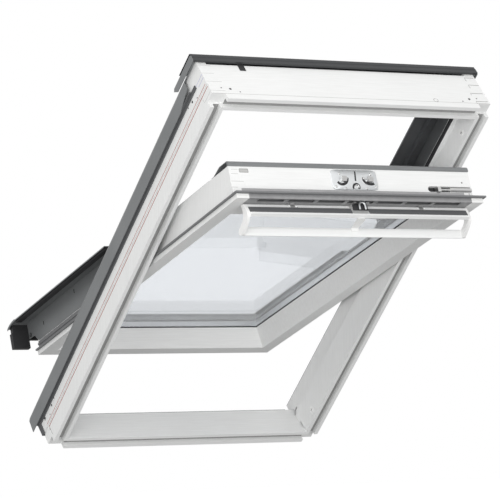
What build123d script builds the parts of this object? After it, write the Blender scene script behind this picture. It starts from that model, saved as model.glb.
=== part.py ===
from build123d import *
import math
import os

# Centre-pivot roof window: timber frame and sash, aluminium covers, vent flap with handle bar.
# It is laid out upright and closed: x across, n outward from the room face, s up the slope.
# The sash is then opened, and the whole window is tipped back to the roof pitch.

# Window and pose
W = 780.0                   # outer width of the frame
H = 1178.0                  # outer length of the frame, along the slope
roof_pitch = 45.0           # slope of the roof, from level
open_angle = 25.0           # how far the sash stands open in the modelled pose
vent_bush_n = 20.97         # depth of the upper bush, met with the sash a little open
cleaning_bush_n = 23.32     # depth of the lower bush, met with the sash turned right over

origin_n = 42.5             # origin: middle of the lower end face, this far from the room face

# Frame timber
frame_t = 36.5              # member thickness at the room side
rebate_t = 26.0             # side member thickness in the outer rebate
rebate_n = 77.0             # depth at which the outer rebate starts
side_depth = 130.0          # side member depth
top_depth = 119.0           # top member depth
bottom_depth = 95.0         # bottom member depth
slope_n = 2.0               # depth where its inner face starts to slope clear of the swinging sash
slope_s = 23.0              # thickness left at its outer edge
lip_out = 10.0              # outer lip beside the lining groove
groove_w = 17.5             # lining groove width
groove_depth = 12.0         # lining groove depth
layer_n = 17.0              # depth of the grooved room-side layer
notch_s = 28.0              # corner notch of that layer, along the slope
comb = [17.0, 42.0, 70.0, 95.0]   # depths where the corner fingers change over
bracket_groove = [43.0, 52.0]     # fixing groove along the outer side faces
bracket_groove_cut = 2.5
bracket_end = 76.0          # large side hole of the upper group, from the frame's top end
bracket_low = 82.3          # and of the lower group, from its bottom end
bracket_step = 22.3         # from each large side hole to its small ones
bracket_in = 55.5           # large top holes, from the frame's outer sides
bracket_top_step = 23.0
plug_in = 157.0             # blind plug hole in the top face, from the right side
plug_n = 23.0
plug_r = 5.0
pilot_big_r = 2.6
pilot_small_r = 1.3
pilot_depth = 12.0
pilot_mouth = 0.6           # countersink at the mouth of each hole
pilot_point = 0.6           # length of the drill point, as a share of the hole's radius
side_hole_n = (71.5, 73.0)  # depth of the large holes in the sides, upper and lower
top_hole_n = (34.0, 32.0)   # depth of the large holes in the top, left and right

# Pivot of the sash
pivot_pin_r = 4.0
pivot_fit = 0.05             # radial running fit of the pin
hinge_boss_r = 9.0
hinge_boss_x = 11.6          # end of the frame hinge's boss, from the rebate wall
pivot_n = side_depth + 1.0  # height of the pivot above the room face
pivot_s = H / 2

# Sash timber, measured from its own bottom end and room face
sash_end_gap = 42.0         # frame's bottom end to the sash's bottom end
sash_face_n = 38.0          # how deep the sash's room face lies when closed
sash_top_gap = 84.0         # sash's top end to the frame's top end
sash_len = H - sash_end_gap - sash_top_gap
sash_t = side_depth - 40.0
body_gap = 17.0             # side gap between the sash body and the frame's room-side face
flange_out = 7.25           # room-side flange beyond the body
flange_t = 11.0
flange_face_w = 36.0        # flat of the room face
splay_w = 22.0              # splay from the room face to the glass
glass_n = sash_t - 40.0     # depth of the glass bed
glass_bed = 16.5            # how far the glass bed reaches under the pane
top_rail_w = 72.0
bottom_rail_w = 40.0
sash_comb = [sash_t - 53.3, sash_t - 37.5, sash_t - 19.1, sash_t - 7.8]
fin_t = 4.0                 # sealing fin thickness
fin_side = 13.0             # fin beyond the body at the sides
fin_top = 35.0              # fin beyond the body at the top
fin_root = 6.0

# Glazing
bed_tape_t = 1.6
pane_in_t = 4.0
pane_gap = 14.0
pane_out_t = 4.0
pane_clear = 2.0
spacer_w = 12.0
gasket_web = 1.5
seal_w = 5.0

# Aluminium covers
sheet = 1.2
cap_over = 18.0             # glazing cap over the glass edge
cover_side = 2.0            # outer edge of the sash's lower covers, inside the frame's outer side
cover_rise = 12.0           # their outer face above the frame's sides
cover_drop = 5.0
cover_bend = [(0.0, -18.0), (-1.5, -32.0), (-4.5, -46.0), (-8.0, -56.0), (-11.5, -63.0)]
cover_start = 42.0          # distance from the pivot where the sash's covers begin
stop_start = 62.0           # distance from the pivot where the frame's stop strips begin
flat_start = 22.0           # distance from the pivot where the frame's covers begin
raised_start = 92.0         # distance from the pivot where the upper cover reaches inward
cover_reach = 85.0          # inner edge of the frame's upper covers, from the frame's outer side
reach_rise = 15.5           # outer face of the part that reaches inward, above the frame's sides
cover_lip = 4.0
clad_stand = 10.0           # outer face of the side cladding, from the frame's side
clad_n0 = side_depth - 47.5   # room-side edge of the side cladding
clad_below = 28.0           # side cladding past the frame's bottom end
clad_cut = 1.5
hood_s = H + 8.0
hood_n0 = side_depth - 7.0
hood_n1 = side_depth + 17.6
hood_back = 62.0            # how far the hood reaches down the slope
stop_w = 12.0               # stop strip beyond the frame's room-side face
stop_n0 = 54.0
stop_n1 = 70.0
top_stop_w = 24.5

# Top of the sash: vent, flap and handle bar
vent_in = 25.5              # ends of the vent profile, from the sash body's sides
vent_leg_n = 35.0
vent_leg_t = 1.6
vent_len = 26.0             # vent profile beyond the end face
vent_root = 10.5            # its root plate let into the top rail
vent_wall = 2.0
slot_pitch = 82.0
slot_gap = 10.0
slot_count = 7
slot_edge = 5.0
flap_axis_s = sash_len - 6.0   # flap hinge, from the sash's bottom end
flap_axis_n = -6.0
flap_tilt = 64.5            # flap plate, from the up-slope direction into the room
flap_len = 32.0
flap_plate = 2.4
flap_nose = 9.0
bar_in = 31.5               # ends of the flap and the bar, from the sash body's sides
lug_in = 125.0              # flap hinges, from the ends of the flap
bar_h = 22.0
bar_t = 5.0
bar_centre = (-31.0, -51.0)
end_cap_t = 8.0
cap_hollow = [(4.0, -8.5), (-11.0, -5.0), (-25.0, -6.5), (-38.5, -22.0), (-45.0, -34.5)]
cap_tip = (-56.0, -37.5)
cap_back = [(-61.5, -25.5), (-51.0, -10.0), (-38.0, 5.5), (-28.0, 12.5), (-15.0, 10.5), (2.0, 3.5)]
flap_pin_r = 2.0
pin_fit = 0.08

# Lock and bolt
lock_x = 3.0
lock_w = 126.0
lock_h = 51.0
lock_n0 = sash_t - 54.0
lock_t = 3.0
claw_x = [-31.0, 43.0]      # middles of the two claws
claw_w = 14.0
latch_pin_r = 3.0
bolt_n = sash_t - 46.4
bolt_r = 3.0
bolt_fit = 0.05
bolt_below = 4.5            # bolt axis below the end face
bolt_slot_len = 126.5       # from the sash body's right side
bolt_slot_h = 14.5
bolt_slot_cut = 10.8
sleeve_len = 63.5
knob_in = 97.5              # knob, from the sash body's right side
stop_hole_in = 24.5         # small hole above the sleeve, from the same side
stop_hole_n = bolt_n + 18.2
knob_w = 9.0
bush_r = 9.0
screw_r = 3.2
screw_head = 1.6
gap = 0.3                   # running gap between bodies
seat_gap = 0.1              # gap round a piece seated in its own body

half_w = W / 2
frame_in = half_w - frame_t
body_x = frame_in - body_gap
flange_x = body_x + flange_out
clad_x = half_w + clad_stand
cover_out_x = half_w - cover_side
cover_n = side_depth + cover_rise - sash_face_n
reach_x = half_w - cover_reach
reach_n = side_depth + reach_rise
vent_x = body_x - vent_in
bar_len = 2 * (body_x - bar_in)
bolt_slot_x0 = body_x - bolt_slot_len
sleeve_x0 = body_x - sleeve_len
knob_x = body_x - knob_in
sash_s0 = sash_end_gap
pane_x = flange_x - flange_face_w - splay_w + glass_bed - pane_clear
bed_x = flange_x - flange_face_w - splay_w + glass_bed
glass_top = sash_len - top_rail_w - splay_w + glass_bed
glass_low = bottom_rail_w + splay_w - glass_bed
pane_in_n = glass_n + bed_tape_t
pane_out_n = pane_in_n + pane_in_t + pane_gap
glass_out = pane_out_n + pane_out_t
far = 2000.0


def box(x0, x1, n0, n1, s0, s1):
    """A block between two bounds across, outward and up the slope."""
    return Pos((x0 + x1) / 2, (n0 + n1) / 2, (s0 + s1) / 2) * Box(x1 - x0, n1 - n0, s1 - s0)


def along_x(outline, x0, x1):
    """A profile drawn as (n, s) and run across the window."""
    face = make_face(Polyline(*[(x0, n, s) for n, s in outline], close=True))
    return extrude(face, amount=x1 - x0, dir=(1, 0, 0))


def along_s(outline, s0, s1):
    """A profile drawn as (x, n) and run up the slope."""
    face = make_face(Polyline(*[(x, n, s0) for x, n in outline], close=True))
    return extrude(face, amount=s1 - s0, dir=(0, 0, 1))


def rod_x(n, s, r, x0, x1):
    return Pos((x0 + x1) / 2, n, s) * Rot(0, 90, 0) * Cylinder(r, x1 - x0)


def rod_s(x, n, r, s0, s1):
    return Pos(x, n, (s0 + s1) / 2) * Cylinder(r, s1 - s0)


def flip(shape):
    """The same piece for the other side of the window."""
    return mirror(shape, about=Plane.YZ)


def slot_x(x0, x1, n0, n1, s0, s1):
    """A slot with round ends, cut along the slope direction."""
    r = (n1 - n0) / 2
    body = box(x0 + r, x1 - r, n0, n1, s0, s1)
    return body + rod_s(x0 + r, (n0 + n1) / 2, r, s0, s1) + rod_s(x1 - r, (n0 + n1) / 2, r, s0, s1)


# Frame members
def grooved(edge):
    """Room-side outline from the outer edge inward: lip, lining groove, lip."""
    steps = [(0, 0), (lip_out, 0), (lip_out, groove_depth), (lip_out + groove_w, groove_depth),
             (lip_out + groove_w, 0), (frame_t, 0)]
    return [edge(d, n) for d, n in steps]


def drilled(r):
    """A drilled hole with a countersunk mouth at the origin, running down to its drill point."""
    wide = r + pilot_mouth
    outline = [(0, 0, 1), (wide, 0, 1), (wide, 0, 0), (r, 0, -pilot_mouth), (r, 0, -pilot_depth),
               (0, 0, -pilot_depth - pilot_point * r)]
    return revolve(make_face(Polyline(*outline, close=True)), Axis.Z)


def pilot_group(centre, step, drop, axis):
    """One bracket hole with a small hole on each side of it."""
    holes = []
    for i, r in ((-1, pilot_small_r), (0, pilot_big_r), (1, pilot_small_r)):
        a, n = centre[0] + i * step, centre[1] - abs(i) * drop / 2 + i * drop
        if axis == "s":
            holes.append(Pos(a, n, H) * drilled(r))
        else:
            holes.append(Pos(-half_w, n, a) * Rot(0, -90, 0) * drilled(r))
    return holes


def side_member():
    outline = grooved(lambda d, n: (-half_w + d, n))
    outline += [(-frame_in, rebate_n), (-half_w + rebate_t, rebate_n),
                (-half_w + rebate_t, side_depth), (-half_w, side_depth),
                (-half_w, bracket_groove[1]), (-half_w + bracket_groove_cut, bracket_groove[1]),
                (-half_w + bracket_groove_cut, bracket_groove[0]), (-half_w, bracket_groove[0])]
    member = along_s(outline, 0, H)
    for n0, n1 in ((comb[0], comb[1]), (comb[2], comb[3])):
        member -= box(-half_w - 1, -frame_in + 1, n0, n1, H - frame_t, H + 1)
        member -= box(-half_w - 1, -frame_in + 1, n0, min(n1, bottom_depth), -1, frame_t)
    member -= box(-half_w - 1, -frame_in + 1, -1, layer_n, H - notch_s, H + 1)
    member -= box(-half_w - 1, -frame_in + 1, -1, layer_n, -1, notch_s)
    upper = pilot_group((H - bracket_end, side_hole_n[0]), -bracket_step, 7.0, "x")
    for hole in upper + pilot_group((bracket_low, side_hole_n[1]), bracket_step, 7.0, "x"):
        member -= hole
    return member


def end_member(depth, top):
    def edge(d, n):
        return (n, H - d if top else d)
    corner_n, corner_s = (depth, frame_t) if top else (slope_n, slope_s)
    outline = grooved(edge) + [edge(frame_t, corner_n), edge(corner_s, depth), edge(0, depth)]
    outline = list(dict.fromkeys(outline))
    member = along_x([(n, s) for n, s in outline], -half_w, half_w)
    s0, s1 = (H - frame_t - 1, H + 1) if top else (-1, frame_t + 1)
    for side in (-1, 1):
        for n0, n1, width in ((-1, layer_n, frame_t), (comb[1], comb[2], frame_t),
                              (comb[3], far, rebate_t)):
            x0, x1 = sorted((side * (half_w - width), side * (half_w + 1)))
            if n0 < depth:
                member -= box(x0, x1, n0, n1, s0, s1)
    return member


def top_member():
    member = end_member(top_depth, True)
    for side, n in zip((-1, 1), top_hole_n):
        for hole in pilot_group((side * (half_w - bracket_in), n), side * bracket_top_step, 6.0, "s"):
            member -= hole
    return member - rod_s(half_w - plug_in, plug_n, plug_r, H - 6.0, H + 1)


# Frame furniture
def stop_outline():
    """Stop strip section with a seat for its seal, from the frame face inward."""
    x0, x1 = -frame_in, -frame_in + stop_w
    return [(x0, stop_n0), (x1 - 3, stop_n0), (x1, stop_n0 + 3), (x1, stop_n1), (x0, stop_n1)]


def side_stop():
    return along_s(stop_outline(), pivot_s + stop_start, H - frame_t)


def side_stop_seal():
    """Double-lipped black seal on the inner edge of the stop strip."""
    x0 = -frame_in + stop_w
    x1 = -body_x - gap
    lips = [(x0, 56.0), (x0 + 1.6, 56.0), (x1, 57.0), (x0 + 2.2, 59.5), (x0 + 2.2, 63.0),
            (x1, 64.0), (x0 + 1.6, 67.5), (x0, 67.5)]
    return along_s(lips, pivot_s + stop_start, H - frame_t - top_stop_w)


def top_stop():
    s1 = H - frame_t
    s0 = s1 - top_stop_w
    x = frame_in - stop_w
    return along_x([(stop_n0, s1), (stop_n0, s0 + 3), (stop_n0 + 3, s0), (stop_n1, s0), (stop_n1, s1)],
                   -x, x)


def top_stop_seal():
    s0 = H - frame_t - top_stop_w
    lips = [(56.0, s0), (56.0, s0 - 1.6), (57.0, s0 - 5), (59.5, s0 - 2.2), (63.0, s0 - 2.2),
            (64.0, s0 - 5), (67.5, s0 - 1.6), (67.5, s0)]
    x = frame_in - stop_w
    return along_x(lips, -x, x)


def stop_seal():
    """The seal runs up both sides and across the top in one length."""
    side = side_stop_seal()
    return side + top_stop_seal() + flip(side)


def side_cladding():
    """Outer flange standing off the timber, its neck and the plate on top of the member."""
    x0, x1 = -clad_x, -clad_x + clad_cut
    top = side_depth + clad_cut
    neck = side_depth - 14.0
    outline = [(x0, clad_n0), (x1, clad_n0), (x1, neck), (x1 + 4, neck + 8), (-half_w - 1.0, side_depth),
               (-half_w + rebate_t, side_depth), (-half_w + rebate_t, top), (-half_w - 2.0, top),
               (x1 + 2, neck + 9), (x0, neck + 1)]
    strip = along_s(outline, -clad_below, H + 1.0)
    slant = along_x([(clad_n0 - 5, -clad_below - 5), (clad_n0 + 55, -clad_below - 5),
                     (clad_n0 + 55, -clad_below + 8), (clad_n0 - 5, -clad_below + 1)],
                    -clad_x - 5, -half_w + rebate_t + 5)
    inside = box(-clad_x + 5.0, -half_w + rebate_t + 5, clad_n0, top + 5, -clad_below - 5, 0)
    corner = along_x([(clad_n0 - 5, H - 121), (clad_n0 + 1, H - 119), (neck - 26, H - 93),
                      (neck - 22, H - 73),
                      (neck - 19, H - 59), (neck + 8, H - 58), (neck + 8, H + 2), (clad_n0 - 5, H + 2)],
                     -clad_x - 1, -clad_x + 6)
    return strip - slant - inside - corner


def side_seal():
    """Membrane strip between the side cladding and the timber, with its turned lower end."""
    x0 = -half_w - 3.0
    outline = [(-half_w, 78.0), (-half_w, 88.0), (-clad_x + clad_cut, 88.0), (-clad_x + clad_cut, 84.5),
               (x0, 84.5), (x0, 78.0)]
    strip = along_s(outline, -6.0, H - 60.0)
    strip += along_s([(-half_w, 78.0), (-half_w, 88.0), (x0, 88.0), (x0, 78.0)], H - 60.0, H - 40.0)
    tail = box(x0, -half_w, 50.0, 78.0, -6.0, 8.0)
    return strip + tail + box(-half_w, -half_w + 12, 50.0, 69.0, -6.0, 0.0)


def upper_cover():
    """Cover on the frame that steps up and reaches in over the upper half of the sash."""
    n0 = side_depth + clad_cut
    n1 = n0 + sheet
    x_in = -half_w + 48.0
    low = [(-half_w - 1.0, n0), (x_in, n0), (x_in, n1), (-half_w - 1.0, n1)]
    flat = along_s(low, pivot_s + flat_start, H)
    wall = -half_w + rebate_t
    leg = box(wall, wall + sheet, rebate_n + 1, n0, pivot_s + raised_start, H - frame_t - seat_gap)
    raised = [(x_in - sheet, n0), (x_in, n0), (x_in, reach_n - sheet), (-reach_x - 1, reach_n - sheet),
              (-reach_x - 1, reach_n - cover_lip), (-reach_x, reach_n - cover_lip), (-reach_x, reach_n),
              (x_in - sheet, reach_n)]
    return flat + leg + along_s(raised, pivot_s + raised_start, H)


def hood():
    """Folded top hood: front face, top plate down the slope, turned-in lower edge."""
    t = clad_cut
    front = [(hood_n0, hood_s), (hood_n0 + 8.0, hood_s), (hood_n0 + 9.0, hood_s - 1.0),
             (hood_n0 + 12.0, hood_s - 1.0), (hood_n0 + 13.0, hood_s), (hood_n1 - 3, hood_s),
             (hood_n1, hood_s - 3),
             (hood_n1 + 1.5, H - hood_back), (hood_n1 + 1.5 - t, H - hood_back),
             (hood_n1 - t, hood_s - 3 - t), (hood_n1 - 3 - t, hood_s - t), (hood_n0 + 4, hood_s - t),
             (hood_n0 + 4, hood_s - 6.0), (hood_n0, hood_s - 6.0)]
    shell = along_x(front, -clad_x, clad_x)
    tab = box(-280.0, -264.0, 101.0, hood_n0 + 1.5, H, H + sheet)
    web = box(-280.0, -264.0, hood_n0, hood_n0 + 1.5, H, hood_s - 5.0)
    return shell + tab + web


def hood_filler():
    """Sheet tray that carries the hood on the top member."""
    t = clad_cut
    n0 = top_depth
    tray = [(n0, H - frame_t), (n0, hood_s - 8), (n0 + t, hood_s - 8), (n0 + t, H - frame_t + t),
            (hood_n1 - 3.2, H - frame_t + t), (hood_n1 - 3.2, H - frame_t)]
    x = reach_x - 2.0
    return along_x(tray, -x, x)


def hood_end(side):
    """Grey strip that closes the hood's end and laps the side cladding."""
    n = hood_n0
    outline = [(n - 2, hood_s - 3), (n + 2, hood_s), (n + 15, hood_s), (n + 18, hood_s - 3),
               (n + 19.5, hood_s - 106),
               (n + 14, hood_s - 112), (n + 1, hood_s - 100)]
    plate = along_x(outline, -clad_x - 1.5, -clad_x)
    return plate if side < 0 else flip(plate)


def bottom_cladding():
    """Sheet on the frame's lower member with its apron folded down outside the timber."""
    t = clad_cut
    n = bottom_depth
    outline = [(n, slope_s), (n + t, slope_s), (n + t, -12.0), (n - 22.0, -15.0), (n - 22.0, -15.0 + t),
               (n, -12.0 + t)]
    x = half_w - rebate_t - 30.0
    return along_x(outline, -x, x)


def frame_hinge():
    """Steel plate in the outer rebate with an eye and the pivot pin."""
    x0 = -half_w + rebate_t
    plate = box(x0, x0 + 3.0, rebate_n + 4, side_depth, pivot_s - 60, pivot_s + 50)
    arm = along_x([(rebate_n + 12, pivot_s - 45), (rebate_n + 12, pivot_s + 30),
                   (pivot_n + 4, pivot_s + 10), (pivot_n + 4, pivot_s - 25)], x0 + 3.0, x0 + 9.0)
    boss = rod_x(pivot_n, pivot_s, hinge_boss_r, x0 + 3.0, x0 + hinge_boss_x)
    pin = rod_x(pivot_n, pivot_s, pivot_pin_r, x0 + 9.0, -body_x - gap)
    return plate + arm + boss + pin


def sash_hinge():
    """Plate on the side of the sash with the bearing for the pivot pin."""
    x0, x1 = -body_x - 6.0, -body_x
    boss_x = -half_w + rebate_t + hinge_boss_x + gap
    plate = along_x([(pivot_n - 71, pivot_s - 40), (pivot_n - 71, pivot_s + 40), (pivot_n - 40, pivot_s + 40),
                     (pivot_n + 9, pivot_s + 12), (pivot_n + 9, pivot_s - 12), (pivot_n - 40, pivot_s - 40)],
                    x0, x1)
    plate += rod_x(pivot_n, pivot_s, hinge_boss_r, boss_x, x1)
    return plate - rod_x(pivot_n, pivot_s, pivot_pin_r + pivot_fit, boss_x - 1, x1 + 1)


def screw():
    """A screw head of twelve flats, standing on the origin."""
    return extrude(RegularPolygon(screw_r, 12), amount=screw_head)


def hinge_screws(side_x, spots):
    """Screw heads on the hinge plates of both sides."""
    heads = [Pos(side_x, n, s) * Rot(0, 90, 0) * screw() for n, s in spots]
    return heads + [flip(h) for h in heads]


def frame_screws():
    """Heads of the screws in the frame's hinges and upper covers."""
    plate = -half_w + rebate_t + 3.0
    heads = hinge_screws(plate, [(90.0, pivot_s - 52), (120.0, pivot_s - 52), (90.0, pivot_s + 42),
                                 (115.0, pivot_s + 42)])
    cover = side_depth + clad_cut + sheet
    for x in (-half_w + 30, half_w - 30):
        heads.append(Pos(x, cover, pivot_s + raised_start - 30) * Rot(-90, 0, 0) * screw())
    return Compound(children=heads)


def lock_striker():
    """Bent sheet striker that hangs from the top member down to the lock."""
    s_low = sash_s0 + sash_len + 5.0
    n0 = sash_face_n + lock_n0 + 26.0
    web = [(n0, H - frame_t), (n0, s_low), (n0 + 14.0, s_low), (n0 + 14.0, s_low + 2.0),
           (n0 + 2.0, s_low + 2.0), (n0 + 2.0, H - frame_t - 2.0), (n0 + 18.0, H - frame_t - 2.0),
           (n0 + 18.0, H - frame_t)]
    striker = along_x(web, lock_x - 62, lock_x + 62)
    for x in claw_x:
        striker -= box(x - 15, x + 15, n0 - 1, n0 + 21, s_low - 1, s_low + 14)
    return striker


def bush_places():
    """Where the swinging bolt's axis passes the depths of the two bushes, above and below the pivot."""
    swing = math.hypot(sash_s0 + sash_len - bolt_below - pivot_s, sash_face_n + bolt_n - pivot_n)
    return [(n, pivot_s + side * math.sqrt(swing ** 2 - (pivot_n - n) ** 2))
            for n, side in ((vent_bush_n, 1), (cleaning_bush_n, -1))]


def bolt_bushes():
    group = []
    for n, s in bush_places():
        ring = rod_x(n, s, bush_r, frame_in - 1.2, frame_in) + rod_x(n, s, bush_r - 3, frame_in,
                                                                     frame_in + 14)
        group.append(ring - rod_x(n, s, bolt_r + 0.8, frame_in - 2, frame_in + 12))
    return Compound(children=group)


def drill_for_bushes(member):
    for n, s in bush_places():
        member -= rod_x(n, s, bush_r - 3 + seat_gap, frame_in - 1, frame_in + 14)
    return member


# Sash, drawn in its closed place
def sash_n(n):
    return sash_face_n + n


def sash_s(s):
    return sash_s0 + s


def stile():
    x_in = -flange_x + flange_face_w
    outline = [(-flange_x, 0), (x_in, 0), (x_in + splay_w, glass_n), (-bed_x, glass_n), (-bed_x, sash_t),
               (-body_x, sash_t), (-body_x, flange_t + fin_t), (-body_x + fin_root, flange_t + fin_t),
               (-body_x + fin_root, flange_t), (-flange_x, flange_t)]
    piece = along_s([(x, sash_n(n)) for x, n in outline], sash_s(0), sash_s(sash_len))
    for n0, n1 in ((sash_comb[0], sash_comb[1]), (sash_comb[2], sash_comb[3])):
        piece -= box(-body_x - 1, -bed_x, sash_n(n0), sash_n(n1), sash_s(sash_len - top_rail_w / 2),
                     sash_s(sash_len + 1))
    return piece - vent_recess()


def rail_outline(top):
    """Section of the top or bottom rail as (n, s) in the sash's own measure."""
    def edge(d):
        return sash_s(sash_len - d) if top else sash_s(d)
    w = top_rail_w if top else bottom_rail_w
    return [(sash_n(0), edge(0)), (sash_n(0), edge(w)), (sash_n(glass_n), edge(w + splay_w)),
            (sash_n(glass_n), edge(w + splay_w - glass_bed)), (sash_n(sash_t), edge(w + splay_w - glass_bed)),
            (sash_n(sash_t), edge(0))]


def rail_ends(side):
    """Room taken by a stile, which the rails stop against, with the splay followed."""
    x_in = -flange_x + flange_face_w
    outline = [(-half_w, -1), (x_in, -1), (x_in, 0), (x_in + splay_w, glass_n), (-bed_x, glass_n),
               (-bed_x, sash_t + 1), (-half_w, sash_t + 1)]
    room = along_s([(x, sash_n(n)) for x, n in outline], sash_s(-5), sash_s(sash_len + 5))
    return room if side < 0 else flip(room)


def bolt_slot():
    """Long slot in the end face that the barrel bolt lies in."""
    return slot_x(bolt_slot_x0, body_x + 9.0, sash_n(bolt_n) - bolt_slot_h / 2,
                  sash_n(bolt_n) + bolt_slot_h / 2,
                  sash_s(sash_len - bolt_slot_cut), sash_s(sash_len + 1))


def vent_recess():
    """Shallow recess for the vent profile's root plate."""
    return box(-vent_x, vent_x, sash_n(-1), sash_n(vent_wall), sash_s(sash_len - vent_root),
               sash_s(sash_len + 1))


def top_rail():
    rail = along_x(rail_outline(True), -body_x, body_x)
    for side in (-1, 1):
        rail -= rail_ends(side)
        for n0, n1 in ((sash_comb[0], sash_comb[1]), (sash_comb[2], sash_comb[3])):
            x0, x1 = sorted((side * body_x, side * bed_x))
            rail += box(x0, x1, sash_n(n0), sash_n(n1), sash_s(sash_len - top_rail_w / 2), sash_s(sash_len))
    rail -= bolt_slot()
    rail -= box(lock_x - 52, lock_x + 52, sash_n(lock_n0 + 4), sash_n(lock_n0 + lock_h - 5),
                sash_s(sash_len - 26), sash_s(sash_len + 1))
    rail -= vent_recess()
    rail -= rod_s(body_x - stop_hole_in, sash_n(stop_hole_n), 2.0, sash_s(sash_len - 8), sash_s(sash_len + 1))
    return rail


def bottom_rail():
    rail = along_x(rail_outline(False), -body_x, body_x)
    for side in (-1, 1):
        rail -= rail_ends(side)
    return rail


def ring(x, s0, s1, n0, n1, w, w_s=None):
    """A flat rectangular ring in the plane of the sash."""
    w_s = w if w_s is None else w_s
    outer = box(-x, x, n0, n1, s0, s1)
    return outer - box(-x + w, x - w, n0 - 1, n1 + 1, s0 + w_s, s1 - w_s)


pane_s0 = sash_s(glass_low + pane_clear)
pane_s1 = sash_s(glass_top - pane_clear)


def pane(n0, t):
    return box(-pane_x, pane_x, sash_n(n0), sash_n(n0 + t), pane_s0, pane_s1)


def pane_spacer():
    e = seal_w
    n0, n1 = pane_in_n + pane_in_t, pane_out_n
    return ring(pane_x - e, pane_s0 + e, pane_s1 - e, sash_n(n0), sash_n(n1), spacer_w)


def pane_seal():
    n0, n1 = pane_in_n + pane_in_t, pane_out_n
    return ring(pane_x, pane_s0, pane_s1, sash_n(n0), sash_n(n1), seal_w)


def glazing_gasket():
    """Black rubber channel round the edge of the glass, between the timber bed and the caps."""
    n0, n1 = sash_n(glass_n), sash_n(glass_out + bed_tape_t)
    wrap = gasket_web
    bed = ring(pane_x, pane_s0, pane_s1, n0, sash_n(pane_in_n), glass_bed - pane_clear - 0.5)
    web = ring(pane_x + wrap, pane_s0 - wrap, pane_s1 + wrap, n0, n1, wrap)
    return bed + web + ring(pane_x, pane_s0, pane_s1, sash_n(glass_out), n1, 12.0)


def cap_outline(edge, outer):
    """Glazing cap section: plate over the timber, step down, foot on the glass edge."""
    top = sash_n(sash_t)
    foot = sash_n(glass_out + bed_tape_t)
    return [edge(outer, top), edge(outer, top + sheet), edge(2.0, top + sheet), edge(2.0, foot + sheet),
            edge(4.0 - cap_over, foot + sheet), edge(4.0 - cap_over, foot), edge(2.0 + sheet, foot),
            edge(2.0 + sheet, top)]


def stile_cap():
    """Cap along one stile, drawn outward from the glass edge."""
    outline = cap_outline(lambda d, n: (-pane_x + 2.0 - d, n), body_x - pane_x + 1.0)
    return along_s(outline, pane_s0 + cap_over - 1.8, pane_s1 - cap_over + 3.8)


def stile_room(s0, s1):
    """Room of both stiles outside the glazing bed, over a stretch up the slope."""
    side = box(-body_x - 1, -bed_x, sash_n(glass_n), sash_n(sash_t), s0, s1)
    return side + flip(side)


def bottom_cap():
    outline = cap_outline(lambda d, n: (n, pane_s0 + 2.0 - d), glass_low + 3.0)
    return along_x(outline, -body_x, body_x) - stile_room(sash_s(0), pane_s0 + cap_over)


def top_clad():
    """Taller aluminium cladding over the top rail, seen above the end face."""
    s1 = sash_s(sash_len)
    n0 = sash_n(sash_t)
    foot = sash_n(glass_out + bed_tape_t)
    leg = pane_s1
    outline = [(n0, s1 - 12), (n0, s1 + 1.5), (n0 + 3, s1 + 3.0), (n0 + 10.5, s1 + 1.5),
               (n0 + 13.0, s1 - 2.0),
               (n0 + 13.0, s1 - 38), (n0 + sheet, leg + 10), (n0 + sheet, leg), (foot + sheet, leg),
               (foot + sheet, leg - cap_over + 4), (foot, leg - cap_over + 4), (foot, leg + sheet),
               (n0, leg + sheet), (n0, leg + 11), (n0 + 11.6, s1 - 37), (n0 + 11.6, s1 - 4),
               (n0 + 1.4, s1 - 4),
               (n0 + 1.4, s1 - 12)]
    cladding = along_x(outline, -body_x, body_x)
    return cladding - stile_room(leg - cap_over, leg + 20)


def nose_outline(depth):
    """The bent lower end of a side cover as (n, s), from its outer face inward by a depth."""
    outer = [(sash_n(cover_n + n), sash_s(s)) for n, s in cover_bend]
    return outer + [(n - depth, s) for n, s in reversed(outer)]


def lower_cover():
    """Cover on the lower half of a stile: outer flange with a turned edge and a bent nose, and side web."""
    x_web = -body_x
    s1 = pivot_s - cover_start
    n_top = sash_n(cover_n)
    outline = [(-bed_x, n_top - sheet), (-bed_x, n_top), (-cover_out_x + 3, n_top), (-cover_out_x, n_top - 3),
               (-cover_out_x, n_top - cover_drop), (-cover_out_x + sheet, n_top - cover_drop),
               (-cover_out_x + sheet, n_top - 3.5), (-cover_out_x + 3.5, n_top - sheet)]
    cover = along_s(outline, sash_s(cover_bend[0][1]), s1)
    cover += along_x(nose_outline(sheet), -cover_out_x, -bed_x)
    cover += along_x(nose_outline(cover_drop), -cover_out_x, -cover_out_x + sheet)
    under = [(sash_n(cover_n + n) - sheet / 2, sash_s(s)) for n, s in cover_bend[:4]]
    low = [(-15.0, -56.0), (-15.0, -50.6), (-38.0, -50.6), (-45.0, -44.0), (-45.5, -14.0), (-58.0, -4.0),
           (-66.0, 8.0)]
    side = [(n_top - sheet / 2, s1)] + under + [(n_top + n, sash_s(s)) for n, s in low] + [(n_top - 66.0, s1)]
    web = along_x(side, x_web - sheet, x_web)
    for s, n in ((233.0, n_top - 16.0), (46.0, n_top - 33.0)):
        web -= box(x_web - 3, x_web + 1, n - 5, n + 5, sash_s(s - 2), sash_s(s + 2))
    return cover + web - rod_x(n_top - 37.0, sash_s(-34.0), 4.0, x_web - 3, x_web + 1)


def lower_cover_seal():
    """Black foam strip under the cover flange, above the frame."""
    n0 = side_depth + clad_cut + sheet + gap
    return box(-half_w + 6.0, -half_w + rebate_t - 4, n0, sash_n(cover_n) - sheet - seat_gap,
               sash_s(cover_bend[0][1] + 1), pivot_s - cover_start - 6)


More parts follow.
